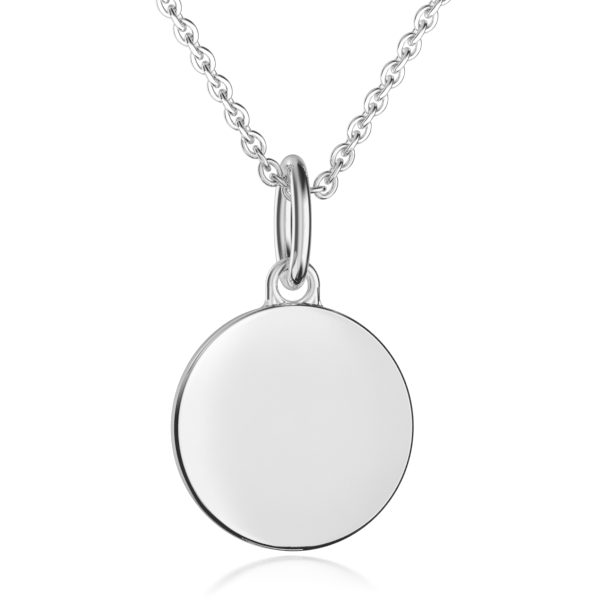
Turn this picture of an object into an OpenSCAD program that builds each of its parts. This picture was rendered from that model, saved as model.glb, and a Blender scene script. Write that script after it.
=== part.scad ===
// Disc pendant on a fine chain: a flat round pendant of polished silver with a wire eyelet
// soldered to its top, an oval wire bail through the eyelet, and a cable chain through the bail.
// The part hangs as it is worn: +Z is up, -Y is the way the disc faces, and the origin is the
// nape, where the closed chain lies on the back of the neck.

/* [Disc] */
// Diameter of the disc
disc_d = 16; // [15:0.5:17]
// Thickness of the disc
disc_t = 1.4; // [1.2:0.1:1.6]
// Radius of the disc's rounded edges
disc_edge_r = 0.25; // [0.15:0.05:0.4]

/* [Eyelet] */
// Diameter of the eyelet's hole
eyelet_hole_d = 2; // [1.9:0.1:2.2]
// Diameter of the eyelet's wire
eyelet_wire_d = 0.83; // [0.7:0.01:0.9]
// How far the bottom of the hole stands above the disc's rim
eyelet_lift = 0.15; // [0.1:0.05:0.3]
// Radius of the solder fillets at the feet of the eyelet's legs
solder_r = 0.5; // [0.3:0.1:0.6]

/* [Bail] */
// Diameter of the bail's wire
bail_wire_d = 1.27; // [1.1:0.01:1.3]
// Height of the bail over its wire
bail_h = 8.8; // [8.4:0.1:9.2]
// Depth of the bail over its wire
bail_w = 5.9; // [5.6:0.1:6.2]

/* [Chain] */
// Diameter of the wire of a link
link_wire_d = 0.4; // [0.36:0.01:0.4]
// Width of a link over its wire
link_w = 1.59; // [1.56:0.01:1.62]
// Length of a link over its wire
link_l = 1.99; // [1.96:0.01:2]
// Length of chain that one link adds
link_pitch = 1.06; // [1.05:0.005:1.07]
// Links in each arm of the front stretch
arm_links = 20; // [12:1:24]
// Angle of the two arms above the horizontal
arm_angle = 58; // [56:1:60]

/* [Necklace] */
// How far the disc's centre hangs below the nape
disc_drop = 110; // [108:1:112]
// How far the disc hangs in front of the nape
disc_reach = 105; // [103:1:107]

/* [Clasp] */
// Outer diameter of the clasp's ring
clasp_d = 5.2; // [4.8:0.1:5.4]
// Diameter of the wire of the clasp's ring
clasp_wire_d = 1.1; // [0.9:0.1:1.2]
// Diameter of the wire of the clasp's end loops
clasp_loop_wire_d = 0.45; // [0.4:0.05:0.5]

/* [Hidden] */
$fn = 64;

disc_r = disc_d / 2;
eyelet_r = (eyelet_hole_d + eyelet_wire_d) / 2;
eyelet_z = disc_r + eyelet_lift + eyelet_hole_d / 2;

// The ring's sides run on down into the rim as straight legs, a hair inside the ring's wire
leg_d = eyelet_wire_d - 0.03;
leg_foot_z = disc_r - 0.6;
solder_t = 0.6;

// The eyelet hangs on the bail's bottom, and the bail's top on the chain, with a hair between
hang_gap = 0.08;
bail_bottom_z = eyelet_z + (eyelet_hole_d - bail_wire_d) / 2 - hang_gap;
bail_half_h = (bail_h - bail_wire_d) / 2;
bail_half_w = (bail_w - bail_wire_d) / 2;
bail_top_z = bail_bottom_z + 2 * bail_half_h;

// Every other link is turned by a quarter. The links across the bail are the long steps of the
// chain and those in its plane the short ones, since each pair pivots on the cross link's end
link_half_w = (link_w - link_wire_d) / 2;
link_half_l = (link_l - link_wire_d) / 2;
cross_step = 2 * link_half_l;
plane_step = 2 * (link_pitch - link_half_l);

// The chain's lowest joint lies a little to the right inside the bail. The bail spreads the links
// that it rests on, so the first ones rise gently on each side and the rest at the arm's angle
seat_depth = 1.8;
seat_shift = 0.48;
low_joint = [seat_shift, 0, bail_top_z - seat_depth];
right_rises = [8];
left_rises = [15, 34];

// The links roll a little about the chain as it rises, more on the left than on the right
left_roll = 30;
right_roll = 6;
untwisted_links = 3;
twisting_links = 3;

// Centre of the disc in the worn necklace, and how far the arms run straight
disc_at = [0, -disc_reach, -disc_drop];
arm_dir = [cos(arm_angle), 0, sin(arm_angle)];
straight_run = 38;

// The chain's way round the right side of the neck, from the clasp to the end of the straight arm
clasp_end_x = 4.5;
neck_route = [
    [clasp_end_x, 0.55, 0],
    [24, -3, 2],
    [45, -18, 4],
    [58, -46, 0],
    [57, -74, -14],
    [46, -95, -27],
];
tube_d = 1.6;
tube_sides = 8;
ring_step = 5.5;
tube_gap = 0.15;
neck_axis = [0, -0.6, 0.8];

function unit(v) = v / norm(v);

// A link lies across the bail's plane on the even places of the right arm and the odd of the left
function is_cross(side, k) = (k % 2 == 0) == (side > 0);
function step(side, k) = is_cross(side, k) ? cross_step : plane_step;
function first_rises(side) = side > 0 ? right_rises : left_rises;
function rise_angle(side, k) = k < len(first_rises(side)) ? first_rises(side)[k] : arm_angle;
function link_dir(side, k) = [side * cos(rise_angle(side, k)), 0, sin(rise_angle(side, k))];
function link_start(side, k) =
    k == 0 ? low_joint : link_start(side, k - 1) + step(side, k - 1) * link_dir(side, k - 1);
function link_centre(side, k) = link_start(side, k) + step(side, k) / 2 * link_dir(side, k);
function full_roll(side) = side > 0 ? right_roll : left_roll;
function link_roll(side, k) =
    full_roll(side) * min(max(k - untwisted_links + 1, 0), twisting_links) / twisting_links
    + (is_cross(side, k) ? 90 : 0);

// A point at u between b and c of the smooth curve through a, b, c and d
function between(a, b, c, d, u) =
    0.5 * (2 * b + (c - a) * u + (2 * a - 5 * b + 4 * c - d) * u ^ 2 + (3 * b - a - 3 * c + d) * u ^ 3);

// The back stretch of the chain, drawn on the right, from the clasp to the last link of an arm.
// The two arms end on different places of the link pattern, so each side has its own end
last_link = arm_links - 1;
function mirrored(side, v) = [side * v.x, v.y, v.z];
function tube_end(side) =
    disc_at + mirrored(side, link_centre(side, last_link)) + (link_l / 2 + tube_gap) * arm_dir;
function knots(side) = concat(
    [mirrored(-1, neck_route[1])],
    neck_route,
    [for (run = [straight_run, straight_run / 2, 0, -straight_run / 2]) tube_end(side) + run * arm_dir]
);
function span_rings(a, b) = ceil(norm(b - a) / ring_step);
function smooth(points) = concat(
    [for (i = [1 : len(points) - 3])
        let (rings = span_rings(points[i], points[i + 1]))
        for (j = [0 : rings - 1])
            between(points[i - 1], points[i], points[i + 1], points[i + 2], j / rings)],
    [points[len(points) - 2]]
);

// The part of a wire ring in the XY plane that lies in a wedge from its centre
module wire_arc(r, wedge, wire_d) {
    intersection() {
        rotate_extrude()
            translate([r, 0])
                circle(d = wire_d);
        linear_extrude(height = 2 * wire_d, center = true)
            polygon(concat([[0, 0]], wedge));
    }
}

// A closed oval of wire in the XY plane, long along X. Its end arcs meet its flatter side arcs
// where the line through both their centres runs 3 across for 4 up, which makes them one curve
module wire_oval(half_w, half_l, wire_d) {
    across = 0.6;
    up = 0.8;
    apart = (half_l - half_w) / (across + up - 1);
    end_r = half_l - across * apart;
    side_r = end_r + apart;
    far = 2 * side_r;
    corner = [across * far, up * far];
    for (turn = [0, 180])
        rotate([0, 0, turn]) {
            translate([across * apart, 0, 0])
                wire_arc(end_r, [[corner.x, -corner.y], [2 * far, 0], corner], wire_d);
            translate([0, -up * apart, 0])
                wire_arc(side_r, [corner, [-corner.x, corner.y]], wire_d);
        }
}

// A closed ring of wire in the XZ plane
module wire_ring(r, wire_d) {
    rotate([90, 0, 0])
        rotate_extrude()
            translate([r, 0])
                circle(d = wire_d);
}

module disc_blank() {
    rotate([90, 0, 0])
        translate([0, 0, -disc_t / 2])
            rotate_extrude() {
                square([disc_r - disc_edge_r, disc_t]);
                translate([0, disc_edge_r])
                    square([disc_r, disc_t - 2 * disc_edge_r]);
                for (z = [disc_edge_r, disc_t - disc_edge_r])
                    translate([disc_r - disc_edge_r, z])
                        circle(r = disc_edge_r);
            }
}

// One leg of the eyelet, with the solder outside its foot, hollowed by a circle that touches
// both the leg and the rim
module eyelet_leg() {
    x = eyelet_r + leg_d / 2 + solder_r;
    z = sqrt((disc_r + solder_r) ^ 2 - x ^ 2);
    translate([eyelet_r, 0, leg_foot_z])
        cylinder(d = leg_d, h = eyelet_z - leg_foot_z);
    rotate([90, 0, 0])
        linear_extrude(height = solder_t, center = true)
            difference() {
                polygon([[eyelet_r, leg_foot_z], [x * leg_foot_z / z, leg_foot_z], [x, z], [eyelet_r, z]]);
                translate([x, z])
                    circle(r = solder_r);
            }
}

module disc() {
    color("silver")
        translate(disc_at) {
            disc_blank();
            translate([0, 0, eyelet_z])
                wire_ring(eyelet_r, eyelet_wire_d);
            eyelet_leg();
            mirror([1, 0, 0])
                eyelet_leg();
        }
}

module bail() {
    color("gainsboro")
        translate(disc_at + [0, 0, bail_bottom_z + bail_half_h])
            rotate([0, -90, 0])
                wire_oval(bail_half_w, bail_half_h, bail_wire_d);
}

// A link faces the viewer at no roll, and lies across the view at a quarter turn
module link(side, k) {
    translate(link_centre(side, k))
        rotate([0, -side * rise_angle(side, k), 0])
            rotate([90 + link_roll(side, k), 0, 0])
                wire_oval(link_half_w, link_half_l, link_wire_d);
}

module chain_front() {
    color("lightgray")
        translate(disc_at)
            for (side = [1, -1], k = [0 : last_link])
                link(side, k);
}

// A closed tube along a list of points, with flat ends
module tube(points) {
    last = len(points) - 1;
    corners = [
        for (i = [0 : last])
            let (
                along = unit(points[min(i + 1, last)] - points[max(i - 1, 0)]),
                out = unit(cross(along, neck_axis)),
                up = cross(out, along)
            )
            for (c = [0 : tube_sides - 1])
                points[i] + tube_d / 2 * (cos(360 * c / tube_sides) * out + sin(360 * c / tube_sides) * up)
    ];
    walls = [
        for (i = [0 : last - 1], c = [0 : tube_sides - 1])
            let (a = i * tube_sides + c, b = i * tube_sides + (c + 1) % tube_sides)
            [a, b, b + tube_sides, a + tube_sides]
    ];
    start_cap = [for (c = [tube_sides - 1 : -1 : 0]) c];
    end_cap = [for (c = [0 : tube_sides - 1]) last * tube_sides + c];
    polyhedron(corners, concat(walls, [start_cap, end_cap]));
}

module chain_back() {
    color("lightgray") {
        tube(smooth(knots(1)));
        mirror([1, 0, 0])
            tube(smooth(knots(-1)));
    }
}

module clasp() {
    ring_r = (clasp_d - clasp_wire_d) / 2;
    loop_r = 0.7;
    loop_x = clasp_d / 2 + loop_r;
    color("silver")
        translate([0, clasp_wire_d / 2, 0]) {
            wire_ring(ring_r, clasp_wire_d);
            for (side = [1, -1])
                translate([side * loop_x, 0, 0])
                    wire_ring(loop_r, clasp_loop_wire_d);
        }
}

disc();
bail();
chain_front();
chain_back();
clasp();
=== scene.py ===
import math

import bmesh
import bpy
from mathutils import Matrix, Vector


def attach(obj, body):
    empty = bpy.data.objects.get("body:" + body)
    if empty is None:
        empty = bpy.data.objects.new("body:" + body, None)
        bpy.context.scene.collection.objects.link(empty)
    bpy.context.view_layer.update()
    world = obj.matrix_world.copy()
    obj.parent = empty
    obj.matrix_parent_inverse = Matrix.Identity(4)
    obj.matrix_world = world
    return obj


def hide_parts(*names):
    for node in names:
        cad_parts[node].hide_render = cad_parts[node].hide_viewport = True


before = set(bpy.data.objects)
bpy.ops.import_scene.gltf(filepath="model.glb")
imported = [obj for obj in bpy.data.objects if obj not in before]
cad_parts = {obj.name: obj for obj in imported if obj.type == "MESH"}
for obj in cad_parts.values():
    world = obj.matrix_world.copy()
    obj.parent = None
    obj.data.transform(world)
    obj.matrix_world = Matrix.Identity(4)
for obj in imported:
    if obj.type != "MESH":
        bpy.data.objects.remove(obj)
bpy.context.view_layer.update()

# The disc is a round blank sawn from sterling sheet, its edges rolled over and its face polished
# to a mirror that is a touch fuller in the middle. A ring of round wire is silver-soldered onto
# its rim. Sizes are in millimetres from here on, and a finished piece is brought to metres.
disc_place = Matrix.Translation((0, -105, -110))
disc_radius = 8.0
disc_thickness = 1.4
disc_edge_radius = 0.25
face_fullness = 0.03
dome_share = 0.35
eyelet_height = 9.15
eyelet_wire_radius = 0.415
eyelet_radius = 1.415
leg_radius = 0.4
leg_foot = 7.4
solder_radius = 0.5
solder_half_width = 0.3
rim_piece_foot = 7.2
rim_piece_half_width = 2.9
rim_piece_shrink = (0.9985, 0.97, 0.9985)
fusing_size = 0.035
merge_distance = 0.0005
millimetre = 0.001
quarter_turn = math.radians(90)
bright = (0.95, 0.948, 0.945)


class Value:
    """An output of a recipe's node. Sums written on it add the Math nodes that work them out."""

    def __init__(self, recipe, socket):
        self.recipe = recipe
        self.socket = socket

    def maths(self, operation, *terms):
        return self.recipe.node("ShaderNodeMath", {"operation": operation}, dict(enumerate(terms)))

    def __add__(self, other):
        return self.maths("ADD", self, other)

    def __sub__(self, other):
        return self.maths("SUBTRACT", self, other)

    def __rsub__(self, other):
        return self.maths("SUBTRACT", other, self)

    def __mul__(self, other):
        return self.maths("MULTIPLY", self, other)

    __radd__ = __add__
    __rmul__ = __mul__


class Recipe:
    """The nodes of one finish, or of the light in the studio."""

    def __init__(self, tree):
        self.tree = tree
        tree.nodes.clear()

    def node(self, kind, settings=None, inputs=None, output=0):
        made = self.tree.nodes.new(kind)
        for name, setting in (settings or {}).items():
            if name == "stops":
                self.set_stops(made.color_ramp, setting)
            else:
                setattr(made, name, setting)
        for name, value in (inputs or {}).items():
            if isinstance(value, Value):
                self.tree.links.new(value.socket, made.inputs[name])
            else:
                made.inputs[name].default_value = value
        return Value(self, made.outputs[output]) if made.outputs else None

    def set_stops(self, ramp, stops):
        while len(ramp.elements) < len(stops):
            ramp.elements.new(1.0)
        for element, (place, grey) in zip(ramp.elements, stops):
            element.position = place
            element.color = (grey, grey, grey, 1.0)


def ease(value, low, high):
    """Nothing below the first value and one above the second, with a soft rise between them."""
    return value.recipe.node(
        "ShaderNodeMapRange", {"interpolation_type": "SMOOTHSTEP"},
        {"Value": value, "From Min": low, "From Max": high},
    )


def polished_silver(name, dark, roughness, wheel_marks, solder_and_shade_places=()):
    """Bright silver: cloudy in colour and gloss, fine wheel marks, and darker round solder joints.
    """
    material = bpy.data.materials.new(name)
    material.use_nodes = True
    recipe = Recipe(material.node_tree)
    place = recipe.node("ShaderNodeTexCoord", output="Object")
    wheel_run = (900.0, 900.0, 14000.0)
    cloud = recipe.node("ShaderNodeTexNoise", {}, {"Vector": place, "Scale": 420.0, "Detail": 3.0})
    grain = recipe.node("ShaderNodeTexNoise", {}, {"Vector": place, "Scale": 5200.0, "Detail": 4.0})
    stretched = recipe.node("ShaderNodeMapping", {}, {"Vector": place, "Scale": wheel_run})
    marks = recipe.node(
        "ShaderNodeTexNoise", {}, {"Vector": stretched, "Scale": 1.0, "Detail": 2.0},
    )
    solder_and_shade = 0.0
    # Darker and duller round each place given: the solder's own tone, on the disc also painted
    # shade
    for centre, near, far in solder_and_shade_places:
        gap = recipe.node(
            "ShaderNodeVectorMath", {"operation": "DISTANCE"}, {0: place, 1: centre}, "Value",
        )
        solder_and_shade = 1.0 - ease(gap, near, far) + solder_and_shade
    tint = cloud * 0.7 + grain * 0.3 + solder_and_shade * 0.5
    colour = recipe.node(
        "ShaderNodeMix", {"data_type": "RGBA", "clamp_factor": True},
        {"Factor": tint, 6: (*bright, 1.0), 7: (*dark, 1.0)}, 2,
    )
    gloss = cloud * 0.5 + grain * 0.5
    rough = gloss * roughness + roughness * 0.6 + solder_and_shade * 0.1
    relief = marks * 0.6 + grain * 0.4
    bump = recipe.node(
        "ShaderNodeBump", {}, {"Strength": 1.0, "Distance": wheel_marks, "Height": relief},
    )
    surface = recipe.node(
        "ShaderNodeBsdfPrincipled", {},
        {"Base Color": colour, "Metallic": 1.0, "Roughness": rough, "Normal": bump},
    )
    recipe.node("ShaderNodeOutputMaterial", {}, {"Surface": surface})
    return material


def wire_circle(mesh, at, radius, sides):
    """The section of a round wire that runs along Y through a point of the X axis."""
    place = Matrix.Translation(at) @ Matrix.Rotation(quarter_turn, 4, "X")
    made = bmesh.ops.create_circle(mesh, segments=sides, radius=radius, matrix=place)
    edges = {edge for vert in made["verts"] for edge in vert.link_edges}
    return made["verts"] + list(edges)


def close_and_turn_out(mesh):
    bmesh.ops.remove_doubles(mesh, verts=mesh.verts, dist=merge_distance)
    bmesh.ops.recalc_face_normals(mesh, faces=mesh.faces)


def finished_piece(mesh, name, material, body, node):
    """Brings a mesh to metres and makes it the object that stands for a node."""
    bmesh.ops.transform(mesh, matrix=Matrix.Scale(millimetre, 4), verts=mesh.verts)
    data = bpy.data.meshes.new(name)
    mesh.to_mesh(data)
    mesh.free()
    data.shade_smooth()
    data.materials.append(material)
    piece = bpy.data.objects.new(name, data)
    bpy.context.scene.collection.objects.link(piece)
    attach(piece, body)
    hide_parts(node)


def worked_mesh(mesh, *modifiers):
    """The mesh after modifiers, each a kind and its settings, as a new mesh."""
    data = bpy.data.meshes.new("in_work")
    mesh.to_mesh(data)
    mesh.free()
    holder = bpy.data.objects.new("in_work", data)
    bpy.context.scene.collection.objects.link(holder)
    for kind, settings in modifiers:
        modifier = holder.modifiers.new(kind.lower(), kind)
        for name, setting in settings.items():
            setattr(modifier, name, setting)
    bpy.context.view_layer.update()
    finished = holder.evaluated_get(bpy.context.evaluated_depsgraph_get())
    result = bpy.data.meshes.new_from_object(finished)
    bpy.data.objects.remove(holder)
    bpy.data.meshes.remove(data)
    return result


def arc_of_points(mesh, start, centre, axis, angle, steps):
    """A bent line of edges from a start point round a centre; gives its points in order."""
    points = [mesh.verts.new(start)]
    for _ in range(steps):
        turned = bmesh.ops.spin(
            mesh, geom=[points[-1]], cent=centre, axis=axis, angle=angle / steps, steps=1,
        )
        points.extend(item for item in turned["geom_last"] if isinstance(item, bmesh.types.BMVert))
    return points


def cut_away(mesh, at, facing):
    """Cuts off what lies past a plane, on the side that it faces."""
    geometry = mesh.verts[:] + mesh.edges[:] + mesh.faces[:]
    bmesh.ops.bisect_plane(mesh, geom=geometry, plane_co=at, plane_no=facing, clear_outer=True)


# The blank: its section, drawn from the axis outwards, is spun round the disc's axis
blank = bmesh.new()
half_thickness = disc_thickness / 2
face_edge = disc_radius - disc_edge_radius
face_steps = 24
for side in (-1, 1):
    face = []
    for step in range(face_steps):
        share = step / face_steps
        fall = face_fullness * (dome_share * share ** 2 + (1 - dome_share) * share ** 6)
        face.append(blank.verts.new((face_edge * share, side * (half_thickness - fall), 0)))
    for start, end in zip(face, face[1:]):
        blank.edges.new((start, end))
    shoulder_start = Vector((face_edge, side * (half_thickness - face_fullness), 0))
    shoulder_centre = shoulder_start - Vector((0, side * disc_edge_radius, 0))
    shoulder = arc_of_points(
        blank, shoulder_start, shoulder_centre, (0, 0, 1), -side * quarter_turn, 12,
    )
    blank.edges.new((face[-1], shoulder[0]))
    if side < 0:
        lower_end = shoulder[-1]
    else:
        blank.edges.new((lower_end, shoulder[-1]))
bmesh.ops.spin(
    blank, geom=blank.verts[:] + blank.edges[:], cent=(0, 0, 0), axis=(0, 1, 0),
    angle=math.tau, steps=240, use_merge=True,
)
close_and_turn_out(blank)

# A piece of the same rim, sunk a little, lies under the eyelet so that the solder flows onto it
eyelet = blank.copy()
cuts = [
    ((0, 0, rim_piece_foot), (0, 0, -1)),
    ((rim_piece_half_width, 0, 0), (1, 0, 0)),
    ((-rim_piece_half_width, 0, 0), (-1, 0, 0)),
]
for cut_at, facing in cuts:
    cut_away(eyelet, cut_at, facing)
    open_edges = [edge for edge in eyelet.edges if edge.is_boundary]
    bmesh.ops.holes_fill(eyelet, edges=open_edges, sides=0)
bmesh.ops.scale(eyelet, vec=rim_piece_shrink, verts=eyelet.verts)

# The eyelet: a ring of wire whose sides run down as legs, with hollowed solder outside each foot
ring = bmesh.new()
ring_section = wire_circle(ring, (eyelet_radius, 0, 0), eyelet_wire_radius, 24)
bmesh.ops.spin(
    ring, geom=ring_section, cent=(0, 0, 0), axis=(0, 0, 1), angle=math.tau,
    steps=72, use_merge=True,
)
ring_up = Matrix.Translation((0, 0, eyelet_height)) @ Matrix.Rotation(quarter_turn, 4, "X")
bmesh.ops.transform(ring, matrix=ring_up, verts=ring.verts)
leg_length = eyelet_height - leg_foot
hollow_x = eyelet_radius + leg_radius + solder_radius
hollow_z = math.sqrt((disc_radius + solder_radius) ** 2 - hollow_x ** 2)
for side in (-1, 1):
    leg_x = side * eyelet_radius
    bmesh.ops.create_cone(
        ring, cap_ends=True, segments=32, radius1=leg_radius, radius2=leg_radius, depth=leg_length,
        matrix=Matrix.Translation((leg_x, 0, leg_foot + leg_length / 2)),
    )
    hollow = Vector((side * hollow_x, -solder_half_width, hollow_z))
    to_disc = Vector((-hollow.x, 0, -hollow.z)).normalized()
    sweep = side * to_disc.angle(Vector((-side, 0, 0)))
    wedge = arc_of_points(ring, hollow + to_disc * solder_radius, hollow, (0, 1, 0), sweep, 10)
    wedge.append(ring.verts.new((leg_x, -solder_half_width, hollow_z)))
    wedge.append(ring.verts.new((leg_x, -solder_half_width, leg_foot)))
    wedge.append(ring.verts.new((hollow.x * leg_foot / hollow_z, -solder_half_width, leg_foot)))
    outline = ring.faces.new(wedge)
    thick = bmesh.ops.extrude_face_region(ring, geom=[outline])
    raised = [item for item in thick["geom"] if isinstance(item, bmesh.types.BMVert)]
    bmesh.ops.translate(ring, verts=raised, vec=(0, 2 * solder_half_width, 0))
close_and_turn_out(ring)
eyelet.from_mesh(worked_mesh(ring))
soldered = worked_mesh(
    eyelet,
    ("REMESH", {"mode": "VOXEL", "voxel_size": fusing_size, "adaptivity": 0.0}),
    ("SMOOTH", {"factor": 0.5, "iterations": 16}),
)

disc_mesh = bmesh.new()
disc_mesh.from_mesh(worked_mesh(blank))
disc_mesh.from_mesh(soldered)
bmesh.ops.transform(disc_mesh, matrix=disc_place, verts=disc_mesh.verts)
# Painted shade, with the solder's own duller tone: the silver darkens round the eyelet's feet on
# the rim
solder_feet_and_shade = [((side * 0.0019, -0.105, -0.1021), 0.0001, 0.0006) for side in (-1, 1)]
disc_silver = polished_silver("disc_silver", (0.90, 0.90, 0.903), 0.035, 0.0000004, solder_feet_and_shade)
finished_piece(disc_mesh, "disc_and_eyelet", disc_silver, "disc", "disc")

# The bail is one length of thick round silver wire, bent into an oval through the eyelet and
# soldered shut, then polished. The chain runs through its top, and it swings freely on both.
bail_wire_radius = 0.635
bail_half_height = 3.765
bail_half_depth = 2.315
bail_centre_z = 13.2
corner_angle = math.atan2(0.8, 0.6)


def wire_oval(half_width, half_length, wire_radius, sides, steps_a_turn):
    """A closed oval of wire, long along X in the XY plane, spun in arcs that run smoothly on."""
    mesh = bmesh.new()
    apart = (half_length - half_width) / 0.4
    front = wire_circle(mesh, (half_length, 0, 0), wire_radius, sides)
    arcs = [
        ((0.6 * apart, 0, 0), corner_angle),
        ((0, -0.8 * apart, 0), math.pi - 2 * corner_angle),
        ((-0.6 * apart, 0, 0), 2 * corner_angle),
        ((0, 0.8 * apart, 0), math.pi - 2 * corner_angle),
        ((0.6 * apart, 0, 0), corner_angle),
    ]
    for centre, angle in arcs:
        steps = max(1, round(steps_a_turn * angle / math.tau))
        turned = bmesh.ops.spin(
            mesh, geom=front, cent=centre, axis=(0, 0, 1), angle=angle, steps=steps,
        )
        front = turned["geom_last"]
    close_and_turn_out(mesh)
    return worked_mesh(mesh)


def lay(mesh, shape, place):
    """Adds a copy of a finished shape to a mesh, in its place."""
    copy = shape.copy()
    copy.transform(place)
    mesh.from_mesh(copy)
    bpy.data.meshes.remove(copy)


bail_mesh = bmesh.new()
bail_oval = wire_oval(bail_half_depth, bail_half_height, bail_wire_radius, 40, 112)
bail_upright = Matrix.Translation((0, 0, bail_centre_z)) @ Matrix.Rotation(-quarter_turn, 4, "Y")
lay(bail_mesh, bail_oval, disc_place @ bail_upright)
bail_joint = [((0.0, -0.1026, -0.0988), 0.0003, 0.0009)]
bail_silver = polished_silver("bail_silver", (0.89, 0.89, 0.895), 0.03, 0.0000005, bail_joint)
finished_piece(bail_mesh, "bail_ring", bail_silver, "bail", "bail")

# The chain is a cable chain: oval links of round silver wire, each soldered shut round the last
# and lying a quarter turn from it. These forty links, twenty up each side of the lowest joint
# inside the bail, are the ones that the pendant shows, so their wire is drawn round.
link_wire_radius = 0.2
link_half_width = 0.595
link_half_length = 0.795
link_pitch = 1.06
arm_links = 20
arm_angle = math.radians(58)
lowest_joint = Vector((0.48, 0, 15.165))
first_rises = {1: (8,), -1: (15, 34)}
arm_roll = {1: 6, -1: 30}


def is_cross(side, number):
    return (number % 2 == 0) == (side > 0)


def link_step(side, number):
    return 2 * link_half_length if is_cross(side, number) else 2 * (link_pitch - link_half_length)


def link_places(side):
    """Where each link of an arm lies: its centre, its rise and its roll about the chain."""
    joint = lowest_joint.copy()
    rises = [math.radians(rise) for rise in first_rises[side]]
    rises += [arm_angle] * (arm_links - len(rises))
    for number, rise in enumerate(rises):
        step = link_step(side, number)
        along = Vector((side * math.cos(rise), 0, math.sin(rise)))
        twisted = min(max(number - 2, 0), 3) / 3
        roll = math.radians(arm_roll[side] * twisted + (90 if is_cross(side, number) else 0))
        yield joint + along * step / 2, rise, roll
        joint = joint + along * step


def link_turn(side, rise, roll):
    return Matrix.Rotation(-side * rise, 4, "Y") @ Matrix.Rotation(quarter_turn + roll, 4, "X")


front_mesh = bmesh.new()
round_link = wire_oval(link_half_width, link_half_length, link_wire_radius, 14, 48)
for side in (1, -1):
    for centre, rise, roll in link_places(side):
        place = disc_place @ Matrix.Translation(centre) @ link_turn(side, rise, roll)
        lay(front_mesh, round_link, place)
chain_silver = polished_silver("chain_silver", (0.87, 0.87, 0.876), 0.045, 0.0000006)
finished_piece(
    front_mesh, "chain_front_links", chain_silver, "necklace", "chain_front",
)

# The rest of the same chain goes up over the collar bones and round to the nape. It is out of
# the photograph's view, so its links are plainer, but each still lies through the next, up to
# the last ones in the clasp's loops.
route = [
    Vector((24, -3, 2)),
    Vector((45, -18, 4)),
    Vector((58, -46, 0)),
    Vector((57, -74, -14)),
    Vector((46, -95, -27)),
]
straight_run = 38
gap_to_front = 0.15
last_link_x = 4.345
chain_y_at_nape = 0.55
steps_a_knot = 60


def on_curve(before, start, end, after, share):
    return 0.5 * (
        2 * start
        + (end - before) * share
        + (2 * before - 5 * start + 4 * end - after) * share ** 2
        + (3 * start - before - 3 * end + after) * share ** 3
    )


back_mesh = bmesh.new()
plain_link = wire_oval(link_half_width, link_half_length, link_wire_radius, 5, 12)
for side in (1, -1):
    *_, (last_centre, _, last_roll) = link_places(side)
    start = disc_place @ last_centre
    along = Vector((side * math.cos(arm_angle), 0, math.sin(arm_angle)))
    half_link = link_half_length + link_wire_radius
    bend_start = start + (half_link + gap_to_front + straight_run) * along
    nape_end = Vector((side * last_link_x, chain_y_at_nape, 0))
    past_nape = Vector((-side * route[0].x, route[0].y, route[0].z))
    knots = [start - 20 * along, start, (start + bend_start) / 2, bend_start]
    knots += [Vector((side * point.x, point.y, point.z)) for point in reversed(route)]
    knots += [nape_end, past_nape]
    points = [start]
    for four in zip(knots, knots[1:], knots[2:], knots[3:]):
        shares = [(part + 1) / steps_a_knot for part in range(steps_a_knot)]
        points.extend(on_curve(*four, share) for share in shares)
    lengths = [0.0]
    for before, after in zip(points, points[1:]):
        lengths.append(lengths[-1] + (after - before).length)
    count = round(lengths[-1] / link_pitch)
    # The last link lies flat across the clasp's upright loop: the turn left over is shared out
    turns = []
    for try_count in (count, count + 1):
        places = []
        part = 0
        for number in range(1, try_count + 1):
            distance = lengths[-1] * number / try_count
            while part < len(lengths) - 2 and lengths[part + 1] < distance:
                part += 1
            share = (distance - lengths[part]) / (lengths[part + 1] - lengths[part])
            heading = (points[part + 1] - points[part]).normalized()
            places.append((points[part].lerp(points[part + 1], share), heading))
        turn = link_turn(side, arm_angle, last_roll).to_quaternion()
        heading = along
        carried = []
        for at, new_heading in places:
            turn = heading.rotation_difference(new_heading) @ turn
            heading = new_heading
            carried.append((at, heading, turn.copy()))
        quarter_turns = Matrix.Rotation(quarter_turn * try_count, 4, heading).to_quaternion()
        face = quarter_turns @ carried[-1][2] @ Vector((0, 0, 1))
        left_over = math.atan2(heading.dot(face.cross(Vector((0, 0, 1)))), face.z)
        left_over = (left_over + math.pi / 2) % math.pi - math.pi / 2
        turns.append((abs(left_over), left_over, carried))
    _, left_over, carried = min(turns, key=lambda turn: turn[0])
    for number, (at, heading, turn) in enumerate(carried, start=1):
        twist = Matrix.Rotation((quarter_turn + left_over / len(carried)) * number, 4, heading)
        lay(back_mesh, plain_link, Matrix.Translation(at) @ twist @ turn.to_matrix().to_4x4())
finished_piece(
    back_mesh, "chain_back_links", chain_silver, "necklace", "chain_back",
)

# The clasp is a small spring ring of hollow silver tube, with the seam of its sliding gate on
# each side of the opening, a thumb nib on the gate, and a soldered wire loop at each end.
clasp_centre = Vector((0, 0.55, 0))
clasp_ring_radius = 2.05
clasp_tube_radius = 0.55
clasp_loop_radius = 0.7
clasp_loop_wire_radius = 0.225
clasp_loop_x = 3.3
gate_angles = (math.radians(62), math.radians(118))
seam_half_angle = math.radians(1.2)
seam_radius_share = 0.9
nib_radius = 0.3
nib_angle = math.radians(100)

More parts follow.
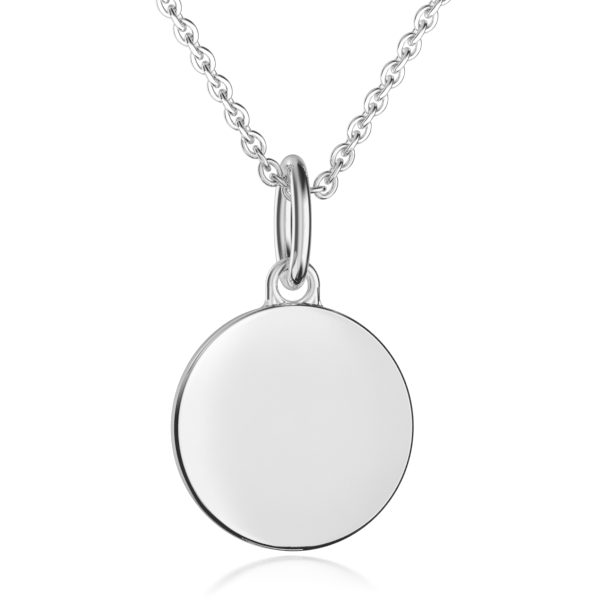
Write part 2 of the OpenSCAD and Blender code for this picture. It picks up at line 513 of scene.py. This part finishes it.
clasp_mesh = bmesh.new()
tube_section = wire_circle(clasp_mesh, (clasp_ring_radius, 0, 0), clasp_tube_radius, 28)
bmesh.ops.spin(
    clasp_mesh, geom=tube_section, cent=(0, 0, 0), axis=(0, 0, 1), angle=math.tau,
    steps=180, use_merge=True,
)
bmesh.ops.remove_doubles(clasp_mesh, verts=clasp_mesh.verts, dist=merge_distance)
for vert in clasp_mesh.verts:
    angle = math.atan2(vert.co.y, vert.co.x)
    if min(abs(angle - gate) for gate in gate_angles) < seam_half_angle:
        middle = Vector((math.cos(angle), math.sin(angle), 0)) * clasp_ring_radius
        vert.co = middle.lerp(vert.co, seam_radius_share)
nib_ball = bmesh.ops.create_uvsphere(
    clasp_mesh, u_segments=20, v_segments=12, radius=nib_radius,
)
nib = nib_ball["verts"]
bmesh.ops.scale(clasp_mesh, vec=(0.75, 0.9, 1.0), verts=nib)
nib_at = Vector((math.cos(nib_angle), math.sin(nib_angle), 0)) * clasp_ring_radius
bmesh.ops.translate(clasp_mesh, verts=nib, vec=nib_at + Vector((0, 0, clasp_tube_radius)))
for side in (1, -1):
    loop = wire_oval(clasp_loop_radius, clasp_loop_radius, clasp_loop_wire_radius, 16, 48)
    lay(clasp_mesh, loop, Matrix.Translation((side * clasp_loop_x, 0, 0)))
close_and_turn_out(clasp_mesh)
clasp_place = Matrix.Translation(clasp_centre) @ Matrix.Rotation(quarter_turn, 4, "X")
bmesh.ops.transform(clasp_mesh, matrix=clasp_place, verts=clasp_mesh.verts)
clasp_feet = [((side * 0.0026, 0.00055, 0.0), 0.0003, 0.0008) for side in (-1, 1)]
clasp_silver = polished_silver("clasp_silver", (0.88, 0.88, 0.886), 0.04, 0.0000005, clasp_feet)
finished_piece(clasp_mesh, "clasp_ring", clasp_silver, "necklace", "clasp")

# The floor is a sheet of glossy white acrylic just under the disc. It gives back a faint picture
# of the disc that blurs as it goes down, and metal above it sees the studio's light instead.
# The camera stands fifteen degrees to the left of the disc's face, so the shine runs that way.
floor_z = -118.15
floor_half_width = 1500
floor_glow = 1.06
floor_shine = 0.38
shine_start = (-0.006, -0.002)
shine_end = (0.025, 0.085)
shine_edge = (0.0035, 0.0055)
shine_spread = 0.06
disc_foot = Vector((0, -105, floor_z)) * millimetre
camera_turn = math.radians(-15)
to_camera = Vector((math.sin(camera_turn), -math.cos(camera_turn), 0))
to_right = Vector((math.cos(camera_turn), math.sin(camera_turn), 0))
white = (1.0, 1.0, 1.0, 1.0)


def stage_sheet(name, mesh):
    """Brings a sheet to metres and puts it in the scene as an object, with an empty recipe."""
    bmesh.ops.transform(mesh, matrix=Matrix.Scale(millimetre, 4), verts=mesh.verts)
    data = bpy.data.meshes.new(name)
    mesh.to_mesh(data)
    mesh.free()
    sheet = bpy.data.objects.new(name, data)
    bpy.context.scene.collection.objects.link(sheet)
    material = bpy.data.materials.new(name)
    material.use_nodes = True
    data.materials.append(material)
    return sheet, Recipe(material.node_tree)


def plain_sheet(half_width, half_length, middle, turned=0, axis="X"):
    """A rectangle that faces upwards, or is turned about an axis by some degrees."""
    mesh = bmesh.new()
    bmesh.ops.create_grid(mesh, x_segments=1, y_segments=1, size=1)
    bmesh.ops.scale(mesh, vec=(half_width, half_length, 1), verts=mesh.verts)
    place = Matrix.Translation(middle) @ Matrix.Rotation(math.radians(turned), 4, axis)
    bmesh.ops.transform(mesh, matrix=place, verts=mesh.verts)
    return mesh


def share_along(place, direction):
    """How far a place lies along a direction."""
    return place.recipe.node(
        "ShaderNodeVectorMath", {"operation": "DOT_PRODUCT"}, {0: place, 1: direction}, "Value",
    )


def from_foot(recipe):
    """The way from the disc's foot to a place on a sheet."""
    place = recipe.node("ShaderNodeTexCoord", output="Object")
    return recipe.node("ShaderNodeVectorMath", {"operation": "SUBTRACT"}, {0: place, 1: disc_foot})


floor, acrylic = stage_sheet(
    "floor", plain_sheet(floor_half_width, floor_half_width, (0, 0, floor_z)),
)
floor.visible_glossy = False
glow = acrylic.node("ShaderNodeEmission", {}, {"Color": white, "Strength": floor_glow})
shine = acrylic.node("ShaderNodeBsdfGlossy", {}, {"Color": white, "Roughness": 0.07})
way = from_foot(acrylic)
across = share_along(way, to_right)
before = share_along(way, to_camera)
beside = across.maths("ABSOLUTE", across) - before * shine_spread
shown = ease(before, *shine_start) * (1.0 - ease(before, *shine_end)) * floor_shine
shown = shown * (1.0 - ease(beside, *shine_edge))
both = acrylic.node("ShaderNodeMixShader", {}, {0: shown, 1: glow, 2: shine})
acrylic.node("ShaderNodeOutputMaterial", {}, {"Surface": both})

# The studio is a white tent. In front of the disc hangs one pale card that its face looks into,
# with darker card round it, so that the polished edges and wires come out in crisp dark lines.
# Bearings are in degrees from the camera, to the right, and heights in degrees above level.
world = bpy.data.worlds.new("studio")
bpy.context.scene.world = world
world.use_nodes = True
studio = Recipe(world.node_tree)
look = studio.node("ShaderNodeTexCoord", output="Generated")
front_share = share_along(look, to_camera)
right_share = share_along(look, to_right)
up_share = share_along(look, (0, 0, 1))
degrees = 180 / math.pi
bearing = right_share.maths("ARCTAN2", right_share, front_share) * degrees
height = up_share.maths("ARCSINE", up_share) * degrees


def round_studio(*cards):
    """A level that runs round the studio from card to card, given at some bearings in degrees."""
    stops = [((at + 180) / 360, level) for at, level in cards]
    return studio.node("ShaderNodeValToRGB", {"stops": stops}, {"Fac": bearing * (1 / 360) + 0.5})


def between(value, low, high, soft_start, soft_end):
    """One between two values, which it leaves by soft falls of some length on either side."""
    return ease(value, low - soft_start, low) * (1.0 - ease(value, high, high + soft_end))


def hung(light, share, level):
    """Hangs a card of a level in front of the light, where its share is one."""
    return light * (1.0 - share) + level * share


level_light = round_studio(
    (-180, 0.35), (-165, 0.4), (-150, 0.62), (-142, 0.7), (-128, 1.0), (-103, 1.0), (-92, 0.5),
    (-84, 0.09), (-52, 0.1), (-40, 0.42), (-26, 0.72), (-12, 0.8), (0, 0.66), (8, 0.5),
    (18, 0.6), (34, 0.97), (42, 1.0), (84, 1.0), (91, 0.6), (99, 0.04), (122, 0.04),
    (136, 0.3), (150, 0.62), (180, 0.35),
)
light_above = round_studio(
    (-180, 0.5), (-120, 0.6), (-80, 0.55), (-50, 0.5), (-20, 0.4), (0, 0.15), (30, 0.05),
    (90, 0.02), (120, 0.12), (150, 0.25), (180, 0.5),
)
light_below = round_studio(
    (-180, 0.6), (-120, 0.6), (-50, 0.6), (-20, 0.4), (8, 0.03), (130, 0.03), (150, 0.5),
    (180, 0.6),
)
depth = height * -1.0
on_right = between(bearing, 25, 95, 20, 15)
up = hung(ease(height, 24, 62), on_right, ease(height, 18, 44))
down = hung(ease(depth, 54, 68), on_right, ease(depth, 42, 58))
light = level_light * (1.0 - up) * (1.0 - down) + light_above * up + light_below * down

# The card in front of the face is a little brighter to the left and above
left_glow = 1.0 - ease(bearing, 28.1, 29.35)
top_glow = ease(height, -1.0, 0.8) * (1.0 - ease(bearing, 30.3, 31.3))
low_shade = (1.0 - ease(height, -3.0, -1.4)) * (1.0 - left_glow)
card_level = 0.832 + left_glow * 0.125 + top_glow * 0.092
card_level = card_level - ease(bearing, 30.2, 32) * 0.043 - low_shade * 0.04
on_card = between(bearing, 26, 35, 3, 5) * between(height, -6, 4, 3, 3)
light = hung(light, on_card, card_level)

# Low down, the sides and the back are grey. Straight behind hangs plain white, for the floor.
low_back = (1.0 - between(bearing, -85, 80, 20, 15)) * ease(depth, 22, 40)
light = hung(light, low_back, 0.6)
low_left = between(bearing, -95, -45, 15, 20) * ease(depth, 28, 46)
light = hung(light, low_left, 0.85)
straight_behind = 1.0 - between(bearing, -174, 174, 4, 4)
light = hung(light, straight_behind * between(height, 0, 7, 1, 2), 1.04)
background = studio.node("ShaderNodeBackground", {}, {"Color": light, "Strength": 1.0})
tent = studio.node("ShaderNodeBackground", {}, {"Color": white, "Strength": 1.02})
seen = studio.node("ShaderNodeLightPath", output="Is Camera Ray")
whole = studio.node("ShaderNodeMixShader", {}, {0: seen, 1: background, 2: tent})
studio.node("ShaderNodeOutputWorld", {}, {"Surface": whole})
bpy.context.scene.view_settings.view_transform = "Standard"

# Flags of black cloth hang close to the disc: one stands on its left, one curves round its edge
# on the right, and both swing with it. Four more lie under the acrylic, with a thin glint let in
# among them. The camera never sees the flags, and metal sees only their inner sides.
disc_centre = disc_place.to_translation()
cloth_z = floor_z - 0.05
upwards = (0, 0, 1)
outwards = (1, 1, 0)
black = 0.03


def flag(name, mesh, level, fade=None, body=None):
    """Hangs a sheet whose inner side glows at a level, and may move with a body. A fade says how
    far from the disc's foot, which way, it starts and ends, and at which level it ends."""
    sheet, cloth = stage_sheet(name, mesh)
    sheet.visible_camera = False
    if body:
        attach(sheet, body)
    glow_level = (level, level, level, 1.0)
    if fade:
        which_way, near, far, far_level = fade
        gap = cloth.node(
            "ShaderNodeVectorMath", {"operation": "MULTIPLY"}, {0: from_foot(cloth), 1: which_way},
        )
        reach = cloth.node("ShaderNodeVectorMath", {"operation": "LENGTH"}, {0: gap}, "Value")
        faded = ease(reach, near * millimetre, far * millimetre)
        glow_level = level + faded * (far_level - level)
    inner_side = cloth.node("ShaderNodeEmission", {}, {"Color": glow_level, "Strength": 1.0})
    outer_side = cloth.node("ShaderNodeBsdfTransparent", {}, {"Color": white})
    from_outside = cloth.node("ShaderNodeNewGeometry", output="Backfacing")
    both = cloth.node("ShaderNodeMixShader", {}, {0: from_outside, 1: inner_side, 2: outer_side})
    cloth.node("ShaderNodeOutputMaterial", {}, {"Surface": both})


left_flag_reach = 5
left_flag_height = 15.2
left_flag_bearing = math.radians(20)
left_flag_sweep = math.radians(-163)
left_foot = Vector((-8, disc_centre.y, cloth_z))
to_end = to_camera * math.cos(left_flag_bearing) + to_right * math.sin(left_flag_bearing)
left_flag = bmesh.new()
low_end = left_flag.verts.new(left_foot + left_flag_reach * to_end)
high_end = left_flag.verts.new(low_end.co + Vector((0, 0, left_flag_height)))
upright = left_flag.edges.new((low_end, high_end))
bmesh.ops.spin(
    left_flag, geom=[low_end, high_end, upright], cent=left_foot, axis=(0, 0, 1),
    angle=left_flag_sweep, steps=32,
)
bmesh.ops.reverse_faces(left_flag, faces=left_flag.faces)
flag("left_flag", left_flag, black, (upwards, 9.15, 15.15, 0.45), "disc")

right_flag_reach = 9.6
right_flag_half_depth = 9
right_flag_angle = math.radians(68)
right_flag_sweep = math.radians(156)
to_end = to_right * math.cos(right_flag_angle) + Vector((0, 0, math.sin(right_flag_angle)))
right_end = disc_centre + right_flag_reach * to_end
right_flag = bmesh.new()
front_end = right_flag.verts.new(right_end + to_camera * right_flag_half_depth)
back_end = right_flag.verts.new(right_end - to_camera * right_flag_half_depth)
level_edge = right_flag.edges.new((front_end, back_end))
bmesh.ops.spin(
    right_flag, geom=[front_end, back_end, level_edge], cent=disc_centre, axis=-to_camera,
    angle=right_flag_sweep, steps=60,
)
for reach, facing in ((2.2, -1), (3.0, 1)):
    cut_away(right_flag, disc_centre + Vector((0, reach * facing, 0)), (0, facing, 0))
flag("right_flag", right_flag, 0.05, (upwards, 16.35, 17.35, 0.4), "disc")

rear_left_flag = plain_sheet(5.4, 10, (-8.6, -95.2, cloth_z))
cut_away(rear_left_flag, (-3.3, -100.4, 0), (0.905, 0.424, 0))
low_fade = (outwards, 12, 20, 0.5)
flag("rear_left_flag", rear_left_flag, black, low_fade)
flag("rear_flag", plain_sheet(9.25, 7.6, (8.75, -97.6, cloth_z)), black, low_fade)
flag("low_flag", plain_sheet(16, 2.5, (2, -107.7, cloth_z)), black, low_fade)
front_left_flag = plain_sheet(5, 2.9, (-9, -113.1, cloth_z))
flag("front_left_flag", front_left_flag, black, (outwards, 8.5, 14, 0.8))
flag("glint", plain_sheet(2.2, 0.085, (-1.6, -105.715, cloth_z + 0.01)), 0.9)

# A small pale card beside the eyelet bounces light onto the bail's foot, and moves with the bail.
# In front of the chain, a white apron slopes up towards the camera.
bounce = plain_sheet(2.25, 1.4, (-2.6, -107.6, -103.25), 90, "Y")
flag("bounce", bounce, 0.85, body="bail")
apron_slope = -25
apron_half_width = 80
apron_half_length = 75
apron_rear = Vector((0, -107, -92.3))
to_middle = Vector((0, -apron_half_length, 0))
to_middle.rotate(Matrix.Rotation(math.radians(apron_slope), 3, "X"))
apron = plain_sheet(apron_half_width, apron_half_length, apron_rear + to_middle, apron_slope)
flag("apron", apron, 1.12)

# The camera looks at the disc and the eyelet through a long lens from nearly half a metre away
camera_distance = 0.45
camera_rise = math.radians(0.3)
aim_right = 0.00047
aim_up = 0.0082
camera_data = bpy.data.cameras.new("camera")
camera_data.sensor_width = 36
camera_data.lens = 418.6
camera_data.clip_start = 0.01
camera = bpy.data.objects.new("camera", camera_data)
bpy.context.scene.collection.objects.link(camera)
aim = disc_centre * millimetre + to_right * aim_right + Vector((0, 0, aim_up))
back = to_camera * math.cos(camera_rise) + Vector((0, 0, math.sin(camera_rise)))
turn = Matrix((to_right, back.cross(to_right), back)).transposed()
camera.matrix_world = Matrix.Translation(aim + back * camera_distance) @ turn.to_4x4()
bpy.context.scene.camera = camera
